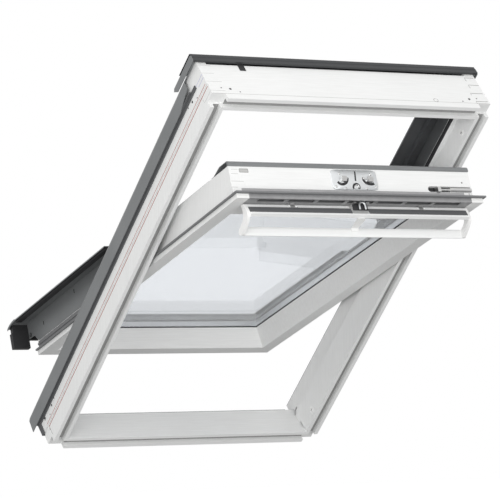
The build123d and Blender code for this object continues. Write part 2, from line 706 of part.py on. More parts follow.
def bottom_cover():
    """Cover across the lower end of the sash, bent like the side covers and lapped by them."""
    s_in = pane_s0 - 8
    foot = sash_n(sash_t) + sheet
    outer = [(sash_n(cover_n + n) - sheet, sash_s(s)) for n, s in cover_bend]
    outline = [(foot, s_in), (sash_n(cover_n) - sheet, s_in)] + outer
    outline += [(n - sheet, s) for n, s in reversed(outer)]
    outline += [(sash_n(cover_n) - 2 * sheet, s_in - sheet), (foot, s_in - sheet)]
    return along_x(outline, -body_x + 1.0, body_x - 1.0)


def bottom_end_seal():
    """Black rubber strip below the bottom cover, with a deep block at each end."""
    x_in = -body_x - sheet - gap
    s0 = sash_s(-60)
    top = sash_n(cover_n)
    strip = box(x_in, -x_in, top - 44, top - 2 * sheet - 14, s0, s0 + 9)
    block = box(-half_w + 5, x_in, top - 69, top - 28, s0, -3)
    neck = along_x([(top - 28, s0 + 2), (top - 10.6, s0 + 2), (top - 6, -3), (top - 28, -3)], -half_w + 8,
                   x_in)
    return strip + block + neck + flip(block) + flip(neck)


def sash_fin():
    """Dark sealing fin that stands out all round, between flange and body."""
    n0, n1 = sash_n(flange_t), sash_n(flange_t + fin_t)
    outer = box(-body_x - fin_side, body_x + fin_side, n0, n1, sash_s(0), sash_s(sash_len + fin_top))
    inner = box(-body_x + fin_root, body_x - fin_root, n0 - 1, n1 + 1, sash_s(0), sash_s(sash_len))
    behind_leg = box(-vent_x, vent_x, n0 - 1, n1 + 1, sash_s(sash_len - 1), sash_s(sash_len) + vent_leg_t)
    ribs = [(0, 15.0), (3.5, 15.0), (3.5, 19.0), (1.2, 20.5), (1.2, 25.0), (3.5, 26.5), (3.5, 31.0),
            (1.2, 32.5),
            (1.2, 36.0), (0, 37.0)]
    root = along_s([(-body_x - x, sash_n(n)) for x, n in ribs], sash_s(0), pivot_s - cover_start - 3.0)
    return outer - inner - behind_leg + root + flip(root)


def vent_profile():
    """Hollow nose with slots on the room side, its root plate, and the leg up the end face."""
    x = vent_x
    s0, s1 = sash_s(sash_len), sash_s(sash_len + vent_len)
    w = vent_wall
    nose = box(-x, x, sash_n(0), sash_n(flange_t), s0, s1)
    nose -= box(-x - 1, x + 1, sash_n(w), sash_n(flange_t - w), s0 + vent_leg_t, s1 - w)
    slot = slot_pitch - slot_gap
    for i in range(slot_count):
        c = (i - (slot_count - 1) / 2) * slot_pitch
        nose -= box(c - slot / 2, c + slot / 2, sash_n(-1), sash_n(w + 1), s0 + slot_edge, s1 - slot_edge)
    leg = box(-x, x, sash_n(flange_t), sash_n(vent_leg_n), s0, s0 + vent_leg_t)
    root = box(-x, x, sash_n(0), sash_n(w), s0 - vent_root, s0)
    return nose + leg + root


def vent_filter():
    """Foam strip inside the vent profile."""
    s0 = sash_s(sash_len) + vent_leg_t
    end = sash_s(sash_len + vent_len) - vent_wall
    return box(-vent_x + 4, vent_x - 4, sash_n(5.0), sash_n(flange_t - vent_wall), s0 + 1, end - 1)


def vent_end_blocks():
    piece = box(-flange_x, -vent_x, sash_n(0), sash_n(flange_t), sash_s(sash_len),
                sash_s(sash_len + vent_len))
    return Compound(children=[piece, flip(piece)])


flap_lug_x = (lug_in - bar_len / 2, bar_len / 2 - lug_in)


def flap_hinge_brackets():
    """Lugs under the top rail that carry the flap's pins."""
    lugs = []
    for x in flap_lug_x:
        n, s = sash_n(flap_axis_n), sash_s(flap_axis_s)
        lug = box(x - 6, x + 6, n - 4.5, sash_n(0), s - 5, s + 4)
        base = box(x - 12, x + 12, sash_n(-1.6), sash_n(0), s - 22, s - 4)
        lugs.append(lug + base + rod_x(n, s, flap_pin_r, x - 12, x + 12))
    return Compound(children=lugs)


def flap_point(r, side, tilt=flap_tilt):
    """A point by distance from the flap's hinge along its plate and to one side of it."""
    a = math.radians(tilt)
    return (sash_n(flap_axis_n) - r * math.sin(a) + side * math.cos(a),
            sash_s(flap_axis_s) + r * math.cos(a) + side * math.sin(a))


def clip_room():
    """Notch in the flap that clears the spring clip when the flap is shut."""
    t = flap_plate
    return along_x([flap_point(-2.0, -1.0), flap_point(flap_len - 6, -1.0), flap_point(flap_len - 6, 4.0 + t),
                    flap_point(-2.0, 4.0 + t)], -24.0, 24.0)


def vent_flap():
    """Flap plate with a thick white nose and knuckles round the hinge pins."""
    t = flap_plate
    outline = [flap_point(-1.0, 1.0 + t), flap_point(flap_len - 7, 1.0 + t),
               flap_point(flap_len - 6, 3.0 + t),
               flap_point(flap_len, 3.0 + t), flap_point(flap_len, 3.0 + t - flap_nose),
               flap_point(flap_len - 4, 3.0 + t - flap_nose), flap_point(flap_len - 6, 1.0),
               flap_point(-1.0, 1.0)]
    flap = along_x(outline, -bar_len / 2, bar_len / 2) - clip_room()
    n, s = flap_point(0, 0)
    for x in flap_lug_x:
        flap -= box(x - 12.5, x + 12.5, n - 6, n + 8, s - 6, s + 7)
        for x0, x1 in ((x - 12.0, x - 6.4), (x + 6.4, x + 12.0)):
            eye = rod_x(n, s, flap_pin_r + 1.6, x0, x1)
            arm = along_x([flap_point(0, -1.0), flap_point(9, 1.0), flap_point(9, 1.0 + t),
                           flap_point(0, 1.4)], x0, x1)
            flap += eye + arm
            flap -= rod_x(n, s, flap_pin_r + pin_fit, x0 - 0.2, x1 + 0.2)
    return flap


def flap_seal():
    """Dark grey sealing strip on the face that closes the vent slots."""
    t = flap_plate
    outline = [flap_point(8.5, 1.0 + t), flap_point(flap_len - 8, 1.0 + t), flap_point(flap_len - 8, 2.6 + t),
               flap_point(8.5, 2.6 + t)]
    return along_x(outline, -bar_len / 2 + 1, bar_len / 2 - 1) - clip_room()


def handle_bar():
    """White bar of slightly bowed section that is pulled to work the flap and the lock."""
    ds, dn = bar_centre
    c_n, c_s = sash_n(flap_axis_n + dn), sash_s(flap_axis_s + ds)
    outer = [(c_n + bar_h / 2, c_s + 1.0), (c_n + bar_h / 4, c_s + bar_t / 2),
             (c_n - bar_h / 4, c_s + bar_t / 2),
             (c_n - bar_h / 2, c_s + 0.5), (c_n - bar_h / 2, c_s - 2.0), (c_n - bar_h / 4, c_s - bar_t / 2),
             (c_n + bar_h / 4, c_s - bar_t / 2), (c_n + bar_h / 2, c_s - 1.5)]
    bar = along_x(outer, -bar_len / 2, bar_len / 2)
    return fillet(bar.edges().filter_by(Axis.X), 0.8)


def end_cap(side):
    """White moulded cap, curved like a claw, that joins the flap and the bar at one end."""
    x0 = -bar_len / 2 - end_cap_t
    n0, s0 = sash_n(flap_axis_n), sash_s(flap_axis_s)
    hollow = [(x0, n0 + n, s0 + s) for n, s in cap_hollow]
    back = [(x0, n0 + n, s0 + s) for n, s in cap_back]
    tip = ThreePointArc(hollow[-1], (x0, n0 + cap_tip[0], s0 + cap_tip[1]), back[0])
    cap = extrude(make_face(Wire([Spline(*hollow), tip, Spline(*back), Line(back[-1], hollow[0])])),
                  amount=end_cap_t, dir=(1, 0, 0))
    return cap if side < 0 else flip(cap)


def handle_bracket():
    """Middle bracket between the flap's nose and the bar."""
    ds, dn = bar_centre
    c_n, c_s = sash_n(flap_axis_n + dn), sash_s(flap_axis_s + ds)
    nose = flap_point(flap_len + 1.0, 1.0)
    n1 = nose[0] + 1
    outline = [(n1, nose[1] - 8), (n1 - 5, nose[1] - 2), (c_n + bar_h / 2 - 2, c_s + 6),
               (c_n + 2, c_s + bar_t / 2 + 2),
               (c_n + 2, c_s + bar_t / 2), (c_n + bar_h / 2 - 3, c_s + bar_t / 2), (n1 - 3, nose[1] - 13)]
    return along_x(outline, -10.0, 10.0)


# Lock and bolt
latch_n = lock_n0 + 24.0
latch_below = 13.0


def lock_case():
    """Zinc face plate with raised rim, slots for the claws, and the tray behind it."""
    s0 = sash_s(sash_len)
    n0, n1 = sash_n(lock_n0), sash_n(lock_n0 + lock_h)
    plate = box(lock_x - lock_w / 2, lock_x + lock_w / 2, n0, n1, s0, s0 + lock_t)
    plate = fillet(plate.edges().filter_by(Axis.Z), 6.0)
    dish = box(lock_x - lock_w / 2 + 8, lock_x + lock_w / 2 - 8, n0 + 7, n1 - 7, s0 + 1.8, s0 + lock_t + 1)
    plate -= fillet(dish.edges().filter_by(Axis.Z), 5.0)
    tray = box(lock_x - 50, lock_x + 50, n0 + 6, n1 - 7, s0 - 25, s0)
    tray -= box(lock_x - 48.5, lock_x + 48.5, n0 + 7.5, n1 - 8.5, s0 - 23.5, s0 + 1)
    case = plate + tray
    for x in claw_x:
        case -= box(x - claw_w / 2 - 5, x + claw_w / 2 + 5, n0 + 12, n1 - 13, s0 - 1, s0 + lock_t + 1)
    case -= slot_x(lock_x - 12, lock_x + 12, n1 - 18, n1 - 13, s0 - 1, s0 + lock_t + 1)
    case -= rod_x(sash_n(latch_n), s0 - latch_below, latch_pin_r + pivot_fit, lock_x - 60, lock_x + 60)
    return case


def sash_screws():
    """Heads of the screws in the sash's hinges and in the lock plate."""
    plate = -body_x - 6.0 - screw_head
    heads = hinge_screws(plate, [(70.0, pivot_s - 30), (70.0, pivot_s + 30), (96.0, pivot_s - 27),
                                 (96.0, pivot_s + 27)])
    s0 = sash_s(sash_len) + lock_t
    for x in (-57.0, -20.0, 57.0):
        for n in (3.8, lock_h - 3.8):
            heads.append(Pos(lock_x + x, sash_n(lock_n0 + n), s0) * screw())
    return Compound(children=heads)


def lock_latch():
    """Shaft across the lock tray with two claws that stand out of the face plate."""
    s_axis = sash_s(sash_len) - latch_below
    n_axis = sash_n(latch_n)
    latch = rod_x(n_axis, s_axis, latch_pin_r, lock_x - 49.9, lock_x + 49.9)
    for x in claw_x:
        claw = [(n_axis - 5, s_axis - 5), (n_axis - 5, s_axis + latch_below + 11),
                (n_axis + 2, s_axis + latch_below + 14),
                (n_axis + 8, s_axis + latch_below + 12), (n_axis + 8, s_axis + latch_below + 9),
                (n_axis + 2, s_axis + latch_below + 8), (n_axis + 4, s_axis - 5)]
        latch += along_x(claw, x - claw_w / 2, x + claw_w / 2)
    return latch


def lock_clip():
    """Bright spring clip on the vent profile's room side, by the bar's bracket."""
    n0 = sash_n(0)
    s0, s1 = sash_s(sash_len) - 9.0, sash_s(sash_len + 26)
    return box(-22.0, 22.0, n0 - 3.0, n0, s0, s1 - 9) - box(-15.0, 15.0, n0 - 5, n0 + 1, s0 + 8, s1)


def barrel_bolt():
    """Sliding rod with its knob."""
    n, s = sash_n(bolt_n), sash_s(sash_len - bolt_below)
    rod = rod_x(n, s, bolt_r, knob_x - knob_w / 2, body_x - 3)
    knob = box(knob_x - knob_w / 2, knob_x + knob_w / 2, n - 6, n + 6, s - 3.5, s + 6)
    grip = box(knob_x - knob_w / 2, knob_x + knob_w / 2, n - 9, n + 5, s + 6, s + 11)
    return rod + knob + fillet(grip.edges().filter_by(Axis.X), 1.5)


def bolt_sleeve():
    n, s = sash_n(bolt_n), sash_s(sash_len - bolt_below)
    tube = rod_x(n, s, 6.0, sleeve_x0, body_x)
    saddle = box(sleeve_x0, body_x, n - 5, n + 5, s - bolt_slot_cut + bolt_below, s)
    return tube + saddle - rod_x(n, s, bolt_r + bolt_fit, sleeve_x0 - 1, body_x + 1)


# Bodies: what stays with the frame, and what swings with the sash
def frame_pieces():
    left = side_member()
    return {
        "frame_left_member": left,
        "frame_right_member": drill_for_bushes(flip(left)),
        "frame_top_member": top_member(),
        "frame_bottom_member": end_member(bottom_depth, False),
        "stop_left": side_stop(),
        "stop_right": flip(side_stop()),
        "stop_top": top_stop(),
        "stop_seal": stop_seal(),
        "side_cladding_left": side_cladding(),
        "side_cladding_right": flip(side_cladding()),
        "side_seal_left": side_seal(),
        "side_seal_right": flip(side_seal()),
        "upper_cover_left": upper_cover(),
        "upper_cover_right": flip(upper_cover()),
        "top_hood": hood(),
        "hood_tray": hood_filler(),
        "hood_ends": Compound(children=[hood_end(-1), hood_end(1)]),
        "bottom_cladding": bottom_cladding(),
        "hinge_frame_left": frame_hinge(),
        "hinge_frame_right": flip(frame_hinge()),
        "frame_screws": frame_screws(),
        "lock_striker": lock_striker(),
        "bolt_bushes": bolt_bushes(),
    }


def sash_pieces():
    return {
        "sash_left_stile": stile(),
        "sash_right_stile": flip(stile()) - bolt_slot(),
        "sash_top_rail": top_rail(),
        "sash_bottom_rail": bottom_rail(),
        "inner_pane": pane(pane_in_n, pane_in_t),
        "outer_pane": pane(pane_out_n, pane_out_t),
        "pane_spacer": pane_spacer(),
        "pane_seal": pane_seal(),
        "glazing_gasket": glazing_gasket(),
        "glazing_cap_left": stile_cap(),
        "glazing_cap_right": flip(stile_cap()),
        "glazing_cap_bottom": bottom_cap(),
        "sash_top_cladding": top_clad(),
        "lower_cover_left": lower_cover(),
        "lower_cover_right": flip(lower_cover()),
        "lower_cover_seals": Compound(children=[lower_cover_seal(), flip(lower_cover_seal())]),
        "bottom_cover": bottom_cover(),
        "bottom_end_seal": bottom_end_seal(),
        "sash_fin": sash_fin(),
        "hinge_sash_left": sash_hinge(),
        "hinge_sash_right": flip(sash_hinge()),
        "vent_profile": vent_profile(),
        "vent_filter": vent_filter(),
        "vent_end_blocks": vent_end_blocks(),
        "flap_brackets": flap_hinge_brackets(),
        "lock_case": lock_case(),
        "sash_screws": sash_screws(),
        "lock_clip": lock_clip(),
        "bolt_sleeve": bolt_sleeve(),
        "vent_flap": vent_flap(),
        "flap_seal": flap_seal(),
        "handle_bar": handle_bar(),
        "end_cap_left": end_cap(-1),
        "end_cap_right": end_cap(1),
        "handle_bracket": handle_bracket(),
        "lock_latch": lock_latch(),
        "barrel_bolt": barrel_bolt(),
    }


pivot_axis = Axis((0, pivot_n, pivot_s), (1, 0, 0))


def opened(shape):
    return shape.rotate(pivot_axis, open_angle)


def tipped(shape):
    return shape.translate((0, -origin_n, 0)).rotate(Axis.X, 90.0 - roof_pitch)


os.makedirs("parts", exist_ok=True)
for name, shape in frame_pieces().items():
    export_step(tipped(shape), f"parts/{name}.step")
for name, shape in sash_pieces().items():
    export_step(tipped(opened(shape)), f"parts/{name}.step")
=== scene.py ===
import bpy
import math
import numpy as np
from mathutils import Matrix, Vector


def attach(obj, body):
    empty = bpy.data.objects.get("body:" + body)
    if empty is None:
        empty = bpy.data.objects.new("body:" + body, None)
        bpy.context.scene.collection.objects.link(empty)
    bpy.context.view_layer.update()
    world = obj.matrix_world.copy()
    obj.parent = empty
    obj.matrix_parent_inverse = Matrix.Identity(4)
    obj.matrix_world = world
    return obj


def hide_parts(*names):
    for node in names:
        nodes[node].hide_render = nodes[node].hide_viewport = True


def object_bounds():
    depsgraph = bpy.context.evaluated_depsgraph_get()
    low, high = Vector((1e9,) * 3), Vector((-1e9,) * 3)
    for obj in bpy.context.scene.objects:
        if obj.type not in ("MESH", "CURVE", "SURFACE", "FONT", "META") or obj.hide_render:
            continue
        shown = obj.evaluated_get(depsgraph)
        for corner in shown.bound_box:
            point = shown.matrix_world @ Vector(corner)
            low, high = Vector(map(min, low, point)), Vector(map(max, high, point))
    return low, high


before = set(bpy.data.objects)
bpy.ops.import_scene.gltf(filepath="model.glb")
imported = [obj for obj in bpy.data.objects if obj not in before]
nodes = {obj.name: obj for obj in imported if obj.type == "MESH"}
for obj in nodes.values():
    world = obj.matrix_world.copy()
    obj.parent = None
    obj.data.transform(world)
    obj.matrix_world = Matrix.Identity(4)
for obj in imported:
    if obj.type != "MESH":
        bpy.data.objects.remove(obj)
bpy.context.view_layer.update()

# Frame timber
# Pine members, planed, finger-jointed at the corners and sprayed with white paint.
# The grain only just shows through the paint, running along each member.
paint_white = (0.86, 0.865, 0.86, 1.0)
paint_shade = (0.80, 0.805, 0.80, 1.0)
paint_grain = (0.60, 0.60, 0.59, 1.0)
roof_turn = math.radians(45.0)


class Sock:
    """One output of a shader node. Sums and products of it add Math nodes to its material."""

    def __init__(self, tree, socket):
        self.tree, self.socket = tree, socket

    def maths(self, operation, *others):
        node = self.tree.nodes.new("ShaderNodeMath")
        node.operation = operation
        for place, item in enumerate((self,) + others):
            plug(self.tree, node.inputs[place], item)
        return Sock(self.tree, node.outputs[0])

    def __add__(self, other):
        return self.maths("ADD", other)

    def __mul__(self, other):
        return self.maths("MULTIPLY", other)

    __radd__, __rmul__ = __add__, __mul__


def plug(tree, place, item):
    """Links a wrapped output to an input, or writes a plain value into it."""
    if isinstance(item, Sock):
        tree.links.new(item.socket, place)
    else:
        place.default_value = item


class Finish:
    """A material with one surface shader. add() makes any other node of it."""

    def __init__(self, name, **inputs):
        self.material = bpy.data.materials.new(name)
        self.material.use_nodes = True
        self.tree = self.material.node_tree
        self.shader = self.tree.nodes["Principled BSDF"]
        self.set(**inputs)

    def set(self, **inputs):
        for name, item in inputs.items():
            plug(self.tree, self.shader.inputs[name.replace("_", " ")], item)

    def add(self, kind, output=0, **inputs):
        node = self.tree.nodes.new("ShaderNode" + kind)
        for name, item in inputs.items():
            plug(self.tree, node.inputs[name.replace("_", " ")], item)
        return Sock(self.tree, node.outputs[output])

    def blend(self, share, first, second):
        """Colour that goes from first to second with the share."""
        node = self.tree.nodes.new("ShaderNodeMix")
        node.data_type = "RGBA"
        plug(self.tree, node.inputs[0], share)
        plug(self.tree, node.inputs[6], first)
        plug(self.tree, node.inputs[7], second)
        return Sock(self.tree, node.outputs[2])

    def place(self, turn=(0.0, 0.0, 0.0), scale=(1.0, 1.0, 1.0)):
        """Object coordinates, turned and stretched to lie along a piece."""
        here = self.add("TexCoord", output=3)
        return self.add("Mapping", Vector=here, Rotation=turn, Scale=scale)

    def relief(self, height, depth, strength=1.0):
        """Small bumps of the given depth, in metres."""
        bump = self.add("Bump", Height=height, Distance=depth, Strength=strength)
        self.set(Normal=bump)


def painted_timber(name, turn, along):
    """White paint over planed pine: a faint drift of tone and a fine raised grain along the member."""
    finish = Finish(name, IOR=1.46)
    stretch = tuple(0.06 if axis == along else 1.0 for axis in range(3))
    grain = finish.add("TexNoise", Vector=finish.place(turn, stretch), Scale=260.0, Detail=3.0)
    drift = finish.add("TexNoise", Vector=finish.place(turn), Scale=5.0, Detail=2.0)
    tone = finish.blend(grain * 0.45, finish.blend(drift, paint_white, paint_shade), paint_grain)
    finish.set(Base_Color=tone, Roughness=drift * 0.10 + 0.36)
    finish.relief(grain, 0.00012, 0.5)
    return finish.material


def dress(material, *names):
    """Gives the named pieces one finish."""
    for name in names:
        mesh = nodes[name].data
        mesh.materials.clear()
        mesh.materials.append(material)


def for_slot(material, slot):
    material["slot"] = slot
    return material


timber_up = for_slot(painted_timber("white_paint_along_slope", (-roof_turn, 0, 0), 2), "white_timber")
timber_across = for_slot(painted_timber("white_paint_across", (0, 0, 0), 0), "white_timber")
dress(timber_up, "frame_left_member", "frame_right_member", "stop_left", "stop_right")
dress(timber_across, "frame_top_member", "frame_bottom_member", "stop_top")

# Corner joints
# The members meet in glued fingers, whose thin joint lines show through the paint at the ends.
# Milling marks run along the left side: two red ones beside the bracket groove, two blue ones above it.
out_axis = np.array([0.0, math.sqrt(0.5), math.sqrt(0.5)])
slope_axis = np.array([0.0, -math.sqrt(0.5), math.sqrt(0.5)])
origin_depth = 0.0425
pivot_out, pivot_up = 0.131, 0.589
sash_out, sash_up = 0.038, 0.042
open_turn = math.radians(25.0)


def in_scene(points, opened):
    """Points in millimetres (across, outward, up the slope) become scene points in metres.

    Those of the sash count from its own room face and bottom end, and turn about the pivot:
    outward' = outward cos a - upward sin a, upward' = outward sin a + upward cos a.
    """
    across, outward, upward = np.moveaxis(np.asarray(points, float) / 1000.0, -1, 0)
    if opened:
        outward, upward = outward + sash_out - pivot_out, upward + sash_up - pivot_up
        outward, upward = (pivot_out + outward * math.cos(open_turn) - upward * math.sin(open_turn),
                           pivot_up + outward * math.sin(open_turn) + upward * math.cos(open_turn))
    side = across[..., None] * np.array([1.0, 0.0, 0.0])
    return side + (outward[..., None] - origin_depth) * out_axis + upward[..., None] * slope_axis


def skin(name, grids, body, material):
    """One piece from grids of scene points. Point (i, j) of a grid makes a quad with its next ones."""
    corners, quads, first = [], [], 0
    for grid in grids:
        rows, columns = grid.shape[:2]
        index = first + np.arange(rows * columns).reshape(rows, columns)
        quad = np.stack([index[:-1, :-1], index[:-1, 1:], index[1:, 1:], index[1:, :-1]], -1)
        quads.append(quad.reshape(-1, 4))
        corners.append(grid.reshape(-1, 3))
        first += rows * columns
    corners, quads = np.concatenate(corners), np.concatenate(quads)
    mesh = bpy.data.meshes.new(name)
    mesh.vertices.add(len(corners))
    mesh.vertices.foreach_set("co", corners.ravel())
    mesh.loops.add(quads.size)
    mesh.loops.foreach_set("vertex_index", quads.ravel())
    mesh.polygons.add(len(quads))
    mesh.polygons.foreach_set("loop_start", np.arange(0, quads.size, 4))
    mesh.update(calc_edges=True)
    mesh.polygons.foreach_set("use_smooth", np.ones(len(quads), bool))
    mesh.materials.append(material)
    piece = bpy.data.objects.new(name, mesh)
    bpy.context.scene.collection.objects.link(piece)
    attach(piece, body)
    return piece


def bead(path, facing, width, height, opened=False):
    """A flat bead carried along a path of (across, outward, up) points.

    Its section is an ellipse: sideways = width / 2 x cos t, towards the facing side = height x sin t.
    """
    path, facing = np.asarray(path, float), np.asarray(facing, float)
    along = np.gradient(path, axis=0)
    along /= np.linalg.norm(along, axis=1, keepdims=True)
    side = np.cross(along, facing)
    t = np.linspace(2 * math.pi, 0.0, 13)[None, :, None]
    return in_scene(path[:, None] + side[:, None] * np.cos(t) * width / 2 + facing * np.sin(t) * height, opened)


def turned(profile, centre, facing, opened=False):
    """A turned shape: each (radius, height) of the profile swings once round the facing axis."""
    facing = np.asarray(facing, float)
    first = np.array([0.0, 1.0, 0.0]) if abs(facing[0]) > 0.5 else np.array([1.0, 0.0, 0.0])
    second = np.cross(facing, first)
    angle = np.linspace(0.0, 2 * math.pi, 29)[None, :, None]
    radius, height = np.asarray(profile, float).T[:, :, None, None]
    swing = np.cos(angle) * first + np.sin(angle) * second
    return in_scene(np.asarray(centre, float) + radius * swing + height * facing, opened)


end_face = (0, 0, 1)
left_face = (-1, 0, 0)
joint_grey = Finish("joint_line", Base_Color=(0.22, 0.215, 0.21, 1), Roughness=0.8).material
joint_faint = Finish("faint_joint_line", Base_Color=(0.46, 0.46, 0.45, 1), Roughness=0.8).material
mark_red = Finish("red_mark", Base_Color=(0.36, 0.10, 0.07, 1), Roughness=0.8).material
mark_blue = Finish("blue_mark", Base_Color=(0.42, 0.44, 0.62, 1), Roughness=0.8).material
frame_end, frame_side = 1178.0, 390.0
left_fingers = [(-388, -355, 115), (-390, -357, 87), (-389, -347, 58.5), (-390, -350, 27)]
right_fingers = [(386, 359, 111.5, 99), (389, 358, 85, 73), (385, 349, 54, 47.5), (386, 351, 24.5, 16)]
lines = [bead([(a, n, frame_end), (b, n, frame_end)], end_face, 1.1, 0.12) for a, b, n in left_fingers]
lines += [bead([(-389, 17.5, frame_end), (386, 17.5, frame_end)], end_face, 1.3, 0.12),
          bead([(-frame_side, n, s) for n, s in ((26.6, 1174), (26.6, 1141), (28.0, 1139), (39, 1138))],
               left_face, 1.0, 0.12)]
skin("left_joint_lines", lines, "frame", joint_faint)
skin("right_joint_lines", [bead([(a, n, frame_end), (b, n, frame_end), (b, low, frame_end)], end_face, 1.7, 0.15)
                           for a, b, n, low in right_fingers], "frame", joint_grey)
skin("red_marks", [bead([(-387.5, 47.6, 30), (-387.5, 47.6, 1172)], left_face, 2.2, 0.12),
                   bead([(-frame_side, 56, 30), (-frame_side, 56, 1172)], left_face, 1.7, 0.12)],
     "frame", mark_red)
skin("blue_marks", [bead([(-frame_side, n, low), (-frame_side, n, 1177)], left_face, 1.6, 0.1)
                    for n, low in ((83.5, 1134), (73.4, 1146))],
     "frame", mark_blue)

# Lining groove
# The groove for the lining panel runs round the room side. Its floor carries a thin mottled grey sheet of painted
# shade, darkening the recess.
groove_shade_paint = Finish("painted_groove_shade", Roughness=0.85)
groove_shade_cloud = groove_shade_paint.add("TexNoise", Vector=groove_shade_paint.place(), Scale=30.0, Detail=3.0)
groove_shade_paint.set(Base_Color=groove_shade_paint.blend(groove_shade_cloud, (0.36, 0.36, 0.355, 1), (0.27, 0.27, 0.268, 1)))
room_face = (0, -1, 0)
groove_mid, groove_floor, groove_wide = 371.25, 11.9, 17.3
runs = [[(-groove_mid, groove_floor, 28.5), (-groove_mid, groove_floor, 1149.5)],
        [(groove_mid, groove_floor, 28.5), (groove_mid, groove_floor, 1149.5)],
        [(-353, groove_floor, 18.75), (353, groove_floor, 18.75)],
        [(-353, groove_floor, 1159.25), (353, groove_floor, 1159.25)]]
skin("groove_painted_shade", [bead(run, room_face, groove_wide, 0.1) for run in runs], "frame", groove_shade_paint.material)

# Bracket holes
# Drilled holes in the ends and sides, each drawn as a flat black disc of painted shade for its shaded inside, and
# one hole that is closed by a round white plug.
hole_shade_paint = Finish("painted_shade_in_holes", Base_Color=(0.03, 0.03, 0.03, 1), Roughness=0.9).material
top_holes = [(-357.5, 37.0, 1.8), (-334.5, 34.0, 3.2), (-311.5, 25.0, 1.8), (311.5, 23.0, 1.8), (334.5, 32.0, 3.2),
             (357.5, 35.0, 1.8)]
side_holes = [(60.98, 1124.3, 1.8), (71.5, 1102.0, 3.2), (75.0, 1079.7, 1.8), (62.5, 60.0, 1.8), (73.0, 82.3, 3.2),
              (76.5, 104.6, 1.8)]
mouths = [turned([(r, 0.05), (0.0, 0.05)], (x, n, frame_end), end_face) for x, n, r in top_holes]
for side in (-1, 1):
    mouths += [turned([(r, 0.05), (0.0, 0.05)], (side * frame_side, n, s), (side, 0, 0)) for n, s, r in side_holes]
skin("hole_mouths", mouths, "frame", hole_shade_paint)
plug_at = (233.0, 23.0, frame_end)
skin("plug_rim", [turned([(6.4, 0.0), (6.2, 0.3), (5.2, 0.3), (5.1, 0.0)], plug_at, end_face)], "frame", joint_grey)
skin("round_plug", [turned([(5.2, 0.0), (5.1, 0.6), (4.2, 0.9), (0.0, 1.0)], plug_at, end_face)], "frame",
     timber_across)

# Sash timber
# The same pine and paint as the frame. The open sash is turned 25 degrees from the frame, and its grain with it.
sash_turn = math.radians(70.0)
timber_sash = for_slot(painted_timber("white_paint_stiles", (-sash_turn, 0, 0), 2), "white_timber")
dress(timber_sash, "sash_left_stile", "sash_right_stile")
dress(timber_across, "sash_top_rail", "sash_bottom_rail")
sash_end = 1052.0
sash_fingers = [(-330, -312, 82.5), (-332, -313, 71.3), (-335, -301, 52.7), (-338, -320, 37.6)]
sash_lines = [bead([(a, n, sash_end), (b, n, sash_end)], end_face, 1.1, 0.12, True) for a, b, n in sash_fingers]
skin("sash_joint_lines", sash_lines, "sash", joint_faint)
# The small grey disc at 312 across is painted shade, standing for the shaded inside of a small hole.
skin("sash_end_line", [bead([(327, 35.5, sash_end), (327, 27.7, sash_end)], end_face, 1.6, 0.15, True),
                       turned([(2.2, 0.05), (0.0, 0.05)], (312.0, 61.8, sash_end), end_face, True)],
     "sash", joint_grey)

# Rating label
# A small plain label with a grey border stands near the left end of the top rail.
border = [[(-308, 75.5), (-284.5, 75.5)], [(-284.5, 75.5), (-284.5, 84)], [(-284.5, 84), (-308, 84)],
          [(-308, 84), (-308, 75.5)]]
skin("label_border", [bead([(x, n, sash_end) for x, n in run], end_face, 1.2, 0.15, True) for run in border],
     "sash", joint_grey)
skin("label_face", [bead([(-307.5, 79.75, sash_end), (-285, 79.75, sash_end)], end_face, 7.6, 0.08, True)],
     "sash", joint_faint)

# Aluminium covers
# Folded sheet with a grey satin lacquer that has a very fine orange-peel texture, darker on the hood.
def lacquer(name, light, dark, gloss):
    finish = Finish(name, Metallic=0.35)
    cloud = finish.add("TexNoise", Vector=finish.place(), Scale=9.0, Detail=2.0)
    peel = finish.add("TexNoise", Vector=finish.place(), Scale=1800.0, Detail=1.0)
    finish.set(Base_Color=finish.blend(cloud, light, dark), Roughness=cloud * 0.08 + gloss)
    finish.relief(peel, 0.00003, 0.35)
    return finish.material


cover_grey = for_slot(lacquer("grey_lacquer", (0.25, 0.258, 0.262, 1), (0.19, 0.198, 0.202, 1), 0.38),
                      "grey_aluminium")
hood_grey = for_slot(lacquer("dark_grey_lacquer", (0.062, 0.064, 0.067, 1), (0.045, 0.047, 0.05, 1), 0.45),
                     "dark_hood")
# Painted shade: a darker copy of the grey lacquer for the upper covers, which are seen from their shaded undersides.
cover_grey_shaded = for_slot(lacquer("grey_lacquer_painted_shade", (0.13, 0.134, 0.138, 1), (0.09, 0.093, 0.096, 1), 0.4),
                      "grey_aluminium")
dress(cover_grey_shaded, "upper_cover_left", "upper_cover_right")
dress(cover_grey, "side_cladding_left", "side_cladding_right", "hood_ends", "bottom_cladding", "glazing_cap_left",
      "glazing_cap_right", "glazing_cap_bottom", "sash_top_cladding", "lower_cover_left", "lower_cover_right",
      "bottom_cover")
dress(hood_grey, "top_hood")

# Seals
# Extruded black rubber, a grey fin, and grey foam strips under the side cladding.
def rubber(name, colour, rough):
    finish = Finish(name, Roughness=rough, IOR=1.5)
    pores = finish.add("TexNoise", Vector=finish.place(), Scale=900.0, Detail=2.0)
    lighter = tuple(min(1.0, channel * 1.6 + 0.004) for channel in colour[:3]) + (1.0,)
    finish.set(Base_Color=finish.blend(pores, colour, lighter))
    finish.relief(pores, 0.00006, 0.6)
    return finish.material


